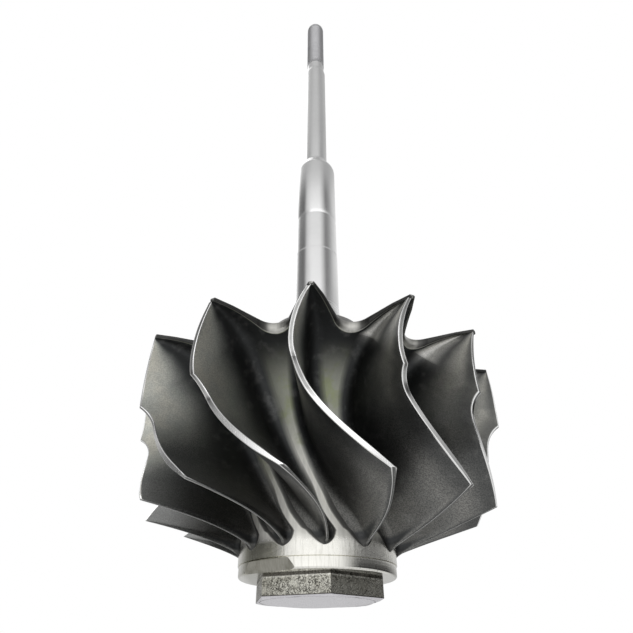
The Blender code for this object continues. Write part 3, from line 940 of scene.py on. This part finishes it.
def nose_colour(nodes):
    """Turned steel with fine scratches along the axis, a few darker stains and painted shade on its left
    side.
    """
    scratch = nodes.noise(0.3 * MM, stretch=ALONG_AXIS, detail=4.0)
    stain = nodes.noise(3.2 * MM, detail=4.0)
    speck = nodes.noise(0.28 * MM, stretch=(1, 1, 0.5), detail=2.0)
    across = nodes.coordinate(0)
    right = across.ramp(3.0 * MM, 7.5 * MM) * (1 - across.ramp(9.5 * MM, 11.5 * MM))
    left = (1 - across.ramp(-7.5 * MM, -4.0 * MM)) * across.ramp(-12.6 * MM, -11.0 * MM)
    colour = nodes.mix(scratch.ramp(0.46, 0.72) * (0.3 + right * 0.15), NOSE_STEEL, NOSE_SCRATCH)
    colour = nodes.mix(speck.ramp(0.6, 0.68) * (right * 0.4 + left * 0.6), colour, NOSE_SPECK)
    # Painted shade: the left side of the nose is dark and olive.
    colour = nodes.mix(left * 0.7, colour, NOSE_LEFT_SHADE)
    return nodes.mix(stain.ramp(0.52, 0.74) * 0.3, colour, NOSE_STAIN)


def cast_finish():
    """The casting's skin: charcoal, browner and grainy towards the exit, with a polished floor. Painted
    shade darkens the blades near the hub, the outer leading-side faces and the roots at the exit; painted
    sheen and painted light brighten the inducer's trailing faces, the exducer's leading faces and the
    fillets under the rims.
    """
    nodes = new_finish("cast_alloy_skin")
    floor, span, along, edge, side = (nodes.attribute(name) for name in
                                      ("floor", "span", "along", "edge", "trailing_side"))
    grain = nodes.noise(0.20 * MM, rough=0.6)
    blotch = nodes.noise(7 * MM, detail=4.0, rough=0.6)
    smear = nodes.noise(2.0 * MM)
    scratch = nodes.noise(0.5 * MM, stretch=ALONG_AXIS)
    speckle = grain.ramp(0.36, 0.64)
    outermost = span.ramp(0.65, 0.95) * (1 - side)
    exducer = along.ramp(0.42, 0.66) * span.ramp(0.25, 0.85) * (1 - side * 0.75) * (1 - outermost * 0.6)
    inducer = (1 - along.ramp(0.36, 0.55)) * span.ramp(0.1, 0.8) * (1 - outermost * 0.5) * (0.7 + side * 0.3)
    exit_share = along.ramp(0.54, 0.64)
    greyer = exit_share * (1 - along.ramp(0.70, 0.80) + along.ramp(0.88, 0.95)) * 0.4
    deep = nodes.mix(greyer, DEEP_CHARCOAL, TONGUE_GREY)
    # Painted sheen: the trailing-side faces of the inducer are paler.
    upper_with_sheen = nodes.mix(side * (1 - along.ramp(0.36, 0.56)), CHARCOAL, SHEEN_CHARCOAL)
    # Painted shade: low on the blades, near the hub, the body takes the dark deep colour.
    body = nodes.mix((span - along.ramp(0.42, 0.58) * 0.18).ramp(0.03, 0.62), deep, upper_with_sheen)
    # Partly the brown-grey as-cast skin of the exducer and partly painted light: paler towards the outer
    # edge and mostly on the leading-side faces.
    body = nodes.mix(exducer * (0.55 + blotch.ramp(0.4, 0.65) * 0.35), body, LIT_CAST_BROWN)
    # Partly a tan tone of the cast skin and partly painted sheen on the inducer, stronger on the trailing
    # side.
    body = nodes.mix(inducer * (0.35 + blotch.ramp(0.35, 0.6) * 0.55), body, CAST_TAN_AND_SHEEN)
    # Painted shade: the outer part of each blade's leading-side face is darkened.
    body = nodes.mix(outermost * 0.58, body, DEEP_CHARCOAL)
    body = nodes.mix(smear.ramp(0.5, 0.75) * 0.25, body, CAST_GREY)
    # Painted shadow: black low on the blades along the roots towards the exit.
    body = nodes.mix(along.ramp(0.80, 0.90) * (1 - span.ramp(0.1, 0.4)) * 0.5, body, PAINTED_SHADOW_BLACK)
    # Painted reflection: bright streaks on the leading-side fillet under each arm's rim.
    under_rim_sheen = (1 - side) * (1 - floor) * (1 - span.ramp(0.0, 0.3)) * along.ramp(0.03, 0.12)
    body = nodes.mix(under_rim_sheen * (1 - along.ramp(0.28, 0.36)) * (0.5 + smear * 0.5), body, PAINTED_RIM_SHEEN)
    body = nodes.mix((1 - speckle) * (0.3 + along.ramp(0.42, 0.55) * 0.35), body, DEEP_CHARCOAL)
    polished = floor * along.ramp(0.34, 0.44)
    # Painted shadow: a dark line along each edge of the floor strip at the exit, where the fillets meet it.
    outline = floor.ramp(0.0, 0.12) * (1 - floor.ramp(0.5, 0.9)) * exit_share * (1 - along.ramp(0.97, 0.995))
    steel = nodes.mix(along.ramp(0.45, 0.60), FLOOR_DULL, FLOOR_STEEL)
    steel = nodes.mix(blotch.ramp(0.5, 0.62) * (1 - along.ramp(0.5, 0.65)) * 0.65, steel, GREEN_TINT)
    steel = nodes.mix(scratch.ramp(0.35, 0.65) * 0.25, steel, CAST_GREY)
    steel = nodes.mix(along.ramp(0.88, 0.97), steel, nose_colour(nodes))
    colour = nodes.mix(outline * 0.8, nodes.mix(polished, body, steel), PAINTED_SHADOW_BLACK)
    # Painted highlight: a bright line along the cast trailing edges, on one side only.
    colour = nodes.mix(edge * 0.9, colour, PAINTED_EDGE_GLINT)
    gloss = polished * along.ramp(0.7, 0.95) * 0.26
    roughness = 0.34 + grain * 0.2 + smear * 0.1 - gloss
    relief = nodes.bump(grain * (1 - polished * 0.8) + smear * 0.5, 0.035 * MM)
    return nodes.surface(colour, roughness, nodes.bump(scratch * polished, 0.02 * MM, relief))


def land_finish():
    """The ground edges of the blades, with painted highlights along both of their chamfers and painted shade
    in the middle of the upper lands and the hollow.
    """
    nodes = new_finish("ground_blade_edge")
    edge, along = nodes.attribute("edge"), nodes.attribute("along")
    marks = nodes.noise(0.22 * MM, stretch=(1, 1, 0.25))
    scuffs = nodes.noise(1.3 * MM)
    # Painted shade: the middle of each land is darkened on the upper part of the blade and at the hollow.
    hollow = along.ramp(0.30, 0.345) * (1 - along.ramp(0.40, 0.47))
    darker = hollow * 0.7 + (1 - along.ramp(0.31, 0.36)) * 0.7
    middle = nodes.mix(darker * (0.75 + scuffs * 0.5), LAND_STEEL, PAINTED_LAND_SHADE)
    # Painted highlight: both chamfers stay near-white, also where the land's middle is shaded.
    colour = nodes.mix(edge, middle, PAINTED_CHAMFER_GLINT)
    return nodes.surface(colour, 0.16 + marks * 0.16, nodes.bump(marks, 0.01 * MM))


LINE_SIZE = 0.12 * MM


def turned_finish(name, colour, shade, rough, depth=0.012 * MM):
    """Turned or ground steel, its fine tool lines running round the axis."""
    nodes = new_finish(name)
    lines = nodes.noise(LINE_SIZE, stretch=TOOL_LINES, detail=4.0, rough=0.6)
    cloud = nodes.noise(4 * MM, stretch=(1, 1, 0.4))
    shaded = lines.ramp(0.3, 0.7) * 0.35 + cloud.ramp(0.4, 0.7) * 0.3
    colour = nodes.mix(shaded, colour, shade)
    return nodes.surface(colour, rough + lines * 0.12 + cloud * 0.08 - 0.08, nodes.bump(lines, depth))


def boss_finish():
    """The boss welded to the wheel: dull from the weld's heat, bright where its fillet meets the shaft."""
    nodes = new_finish("turned_boss")
    lines = nodes.noise(LINE_SIZE, stretch=TOOL_LINES, detail=4.0, rough=0.6)
    cloud = nodes.noise(3 * MM)
    height = nodes.coordinate(2) + cloud * 1.5 * MM
    bright = height.ramp(BOSS_SHOULDER + 0.5 * MM, BOSS_TOP - 2 * MM)
    darker = nodes.mix(lines.ramp(0.3, 0.7) * 0.5, BOSS_DULL, BOSS_SHADE)
    colour = nodes.mix(bright, darker, BOSS_STEEL)
    return nodes.surface(colour, 0.32 - bright * 0.1 + lines * 0.1, nodes.bump(lines, 0.008 * MM))


def nose_finish():
    """The turned nose, bright, with fine scratches that run along the axis."""
    nodes = new_finish("turned_nose")
    scratch = nodes.noise(0.3 * MM, stretch=ALONG_AXIS, detail=4.0)
    lines = nodes.noise(0.2 * MM, stretch=(0.03, 0.03, 1), detail=2.0)
    colour = nose_colour(nodes)
    return nodes.surface(colour, 0.1 + scratch * 0.16, nodes.bump(scratch * 0.6 + lines * 0.4, 0.008 * MM))


def pocket_finish():
    """The flat ground into the band: duller, with the grinding wheel's marks across it."""
    nodes = new_finish("ground_pocket")
    marks = nodes.noise(0.25 * MM, stretch=(1, 1, 0.15))
    stain = nodes.noise(1.5 * MM, detail=4.0)
    colour = nodes.mix(marks.ramp(0.4, 0.65) * 0.25, POCKET_STEEL, POCKET_MARK)
    colour = nodes.mix(stain.ramp(0.45, 0.7) * 0.6, colour, POCKET_STAIN)
    return nodes.surface(colour, 0.42 + marks * 0.15, nodes.bump(marks, 0.04 * MM))


def hexagon_finish():
    """The rough cast flats of the hexagon, with a smoother turned chamfer and end face, a painted shadow
    line under the band and a painted highlight line below it.
    """
    nodes = new_finish("rough_cast_hexagon")
    pits = nodes.noise(0.3 * MM, stretch=(1, 1, 0.8), detail=5.0, rough=0.6)
    fine = nodes.noise(0.16 * MM, detail=2.0)
    grime = nodes.noise(1.6 * MM, stretch=(1, 1, 1.5), detail=4.0)
    up = nodes.node("SeparateXYZ", inputs={0: nodes.node("NewGeometry", output=3)}, output=2)
    end = 1 - up.ramp(-0.6, -0.3)
    patch = nodes.noise(1.1 * MM)
    away = nodes.node("Math", {"operation": "ABSOLUTE"}, {0: pits - 0.5})
    cracks = (1 - away.ramp(0.012, 0.06)) * patch.ramp(0.3, 0.5)
    flats = nodes.mix(grime.ramp(0.45, 0.7) * 0.4, HEX_STEEL, HEX_GRIME)
    flats = nodes.mix((1 - nodes.coordinate(0).ramp(-10 * MM, -4 * MM)) * 0.6, flats, HEX_SHADE)
    flats = nodes.mix(cracks * 0.95, flats, HEX_CRACK)
    height = nodes.coordinate(2) + grime * 0.1 * MM
    # Painted shadow: a dark line at the top of the flats, under the band. A second dark line runs along the
    # foot of each flat, by the chamfer.
    dark_lines = height.ramp(HEX_TOP - 0.32 * MM, HEX_TOP - 0.24 * MM) * 0.95
    dark_lines = dark_lines + (1 - height.ramp(HEX_BEVEL + 0.14 * MM, HEX_BEVEL + 0.2 * MM)) * (1 - end)
    # Painted highlight: a bright line just below the painted shadow at the top of the flats.
    shine = height.ramp(HEX_TOP - 0.56 * MM, HEX_TOP - 0.46 * MM) * (0.3 + pits.ramp(0.45, 0.55) * 0.4)
    flats = nodes.mix(shine, flats, HEX_SHINE)
    flats = nodes.mix(dark_lines, flats, HEX_DARK_LINE)
    colour = nodes.mix(end, flats, HEX_END)
    roughness = 0.18 + fine * 0.14 + cracks * 0.2
    relief = (pits + fine * 0.2 - cracks * 0.3) * (1 - end * 0.95)
    return nodes.surface(colour, roughness, nodes.bump(relief, 0.06 * MM))


def coat(piece, *materials):
    """Gives a piece its materials, in the order of its slots."""
    for material in materials:
        piece.data.materials.append(material)


back_skin = turned_finish("turned_back", BACK_STEEL, BACK_SHADE, 0.42)
coat(make_casting(), cast_finish(), land_finish(), back_skin)
shaft_skin = turned_finish("ground_shaft", SHAFT_STEEL, SHAFT_SHADE, 0.2, depth=0.004 * MM)
boss_skin = boss_finish()
for piece in make_shaft():
    coat(piece, boss_skin if piece.name.startswith("shaft_boss") else shaft_skin)
thread_skin = turned_finish("rolled_thread_skin", THREAD_STEEL, THREAD_SHADE, 0.4)
coat(make_thread(), thread_skin)
coat(make_nose_band(), nose_finish(), pocket_finish())
coat(make_hexagon(), hexagon_finish())

# The floor, which only the camera sees, and only from above: the photograph looks up from below it
FLOOR_SIZE = 8.0
FLOOR_HEIGHT = -0.2 * MM


def make_floor():
    bpy.ops.mesh.primitive_plane_add(size=FLOOR_SIZE, location=(0, 0, FLOOR_HEIGHT))
    floor = bpy.context.object
    floor.name = "studio_floor"
    bpy.ops.object.transform_apply()
    nodes = new_finish("pale_floor")
    material = nodes.surface(STUDIO_PALE, 0.9, metallic=0.0)
    shader = Value(nodes, material.node_tree.nodes["Principled BSDF"].outputs[0])
    seen = nodes.node("LightPath") * (1 - nodes.node("NewGeometry", output=6))
    clear = nodes.node("BsdfTransparent")
    shown = nodes.node("MixShader", inputs={0: seen, 1: clear, 2: shader})
    nodes.feed(material.node_tree.nodes["Material Output"].inputs["Surface"], shown)
    coat(floor, material)


make_floor()

# The photograph's camera: close, looking up from just below the hexagon's end face, on a 36 mm sensor
CAMERA_DISTANCE = 96.6 * MM
CAMERA_HEIGHT = -8.4 * MM
CAMERA_ASIDE = -0.2 * MM
CAMERA_PITCH = math.radians(33.9)
CAMERA_ROLL = math.radians(0.18)
CAMERA_LENS = 29.46
CAMERA_CLIP = 5 * MM

camera_data = bpy.data.cameras.new("photograph_camera")
camera_data.lens = CAMERA_LENS
camera_data.clip_start = CAMERA_CLIP
camera = bpy.data.objects.new("photograph_camera", camera_data)
bpy.context.scene.collection.objects.link(camera)
camera.location = (CAMERA_ASIDE, -CAMERA_DISTANCE, CAMERA_HEIGHT)
camera.rotation_euler = (math.pi / 2 + CAMERA_PITCH, CAMERA_ROLL, 0.0)
bpy.context.scene.camera = camera

# The studio: white to the camera, and to everything else soft boxes with dark gaps between them.
# A ring of light runs from the back round by the left to the back again, as (degrees, strength) stops.
GROUND_RING = ((-180, 0.8), (-90, 0.62), (-30, 0.9), (40, 0.85), (100, 0.6), (180, 0.8))
HEXAGON_RING = ((-180, 0.6), (-90, 0.3), (-62, 1.0), (-10, 1.2), (30, 1.0), (58, 0.02), (120, 0.03),
                (150, 0.4), (180, 0.6))
NOSE_RING = ((-180, 0.8), (-128, 0.45), (-110, 0.05), (-56, 0.04), (-42, 0.85), (-30, 1.02), (28, 1.05),
             (40, 0.75), (54, 0.4), (68, 0.22), (98, 0.3), (128, 0.7), (180, 0.8))
WHEEL_RING = ((-180, 0.8), (-130, 0.6), (-108, 0.4), (-60, 0.4), (-40, 0.7), (-24, 1.6), (26, 1.6),
              (60, 0.7), (85, 0.5), (110, 0.3), (180, 0.6))
JOURNAL_RING = ((-180, 1.0), (-165, 1.5), (-132, 1.5), (-118, 0.65), (-106, 0.2), (-68, 0.1), (-52, 0.75),
                (-30, 0.95), (20, 0.95), (36, 0.6), (54, 0.12), (74, 0.3), (105, 0.7), (180, 1.0))
TOP_RING = ((-180, 1.0), (-168, 1.5), (-124, 1.5), (-106, 0.6), (-90, 0.55), (-60, 0.5), (-20, 0.6),
            (20, 0.6), (60, 0.45), (90, 0.45), (180, 0.6))
# Above the ground's ring, each ring takes over from the one below between two elevations in degrees
RINGS = ((HEXAGON_RING, -28, -14), (NOSE_RING, 7, 8.5), (WHEEL_RING, 13, 19), (JOURNAL_RING, 28, 35),
         (TOP_RING, 42, 53))
BRIGHTEST = 1.8


def make_world():
    world = bpy.data.worlds.new("studio")
    bpy.context.scene.world = world
    world.use_nodes = True
    nodes = Finish(world.node_tree)
    direction = nodes.node("TexCoord", output=0)
    axes = [nodes.node("SeparateXYZ", inputs={0: direction}, output=i) for i in range(3)]
    azimuth = nodes.node("Math", {"operation": "ARCTAN2"}, {0: axes[0], 1: axes[1] * -1.0})
    azimuth = azimuth * (1 / math.tau) + 0.5
    elevation = nodes.node("Math", {"operation": "ARCSINE"}, {0: axes[2]}) * (180 / math.pi)

    def ring(stops):
        levels = [((angle + 180) / 360, strength / BRIGHTEST) for angle, strength in stops]
        return nodes.node("ValToRGB", {"stops": levels}, {0: azimuth})

    glow = ring(GROUND_RING)
    for stops, low, high in RINGS:
        share = elevation.ramp(low, high)
        glow = glow * (1 - share) + ring(stops) * share
    camera_ray = nodes.node("LightPath")
    background = world.node_tree.nodes["Background"].inputs
    background["Color"].default_value = (1, 1, 1, 1)
    nodes.feed(background["Strength"], camera_ray + glow * BRIGHTEST * (1 - camera_ray))


make_world()

# A soft lamp over the floor, which the steel doesn't mirror
LAMP_PLACE = (-0.35, -0.45, 1.1)
LAMP_SIZE = 0.9
LAMP_POWER = 5.0


def make_lamp():
    data = bpy.data.lights.new("floor_lamp", "AREA")
    data.size = LAMP_SIZE
    data.energy = LAMP_POWER
    lamp = bpy.data.objects.new("floor_lamp", data)
    bpy.context.scene.collection.objects.link(lamp)
    lamp.location = LAMP_PLACE
    lamp.rotation_euler = (-Vector(LAMP_PLACE)).to_track_quat("-Z", "Y").to_euler()
    lamp.visible_camera = False
    lamp.visible_glossy = False


make_lamp()

bpy.context.scene.view_settings.view_transform = "Standard"
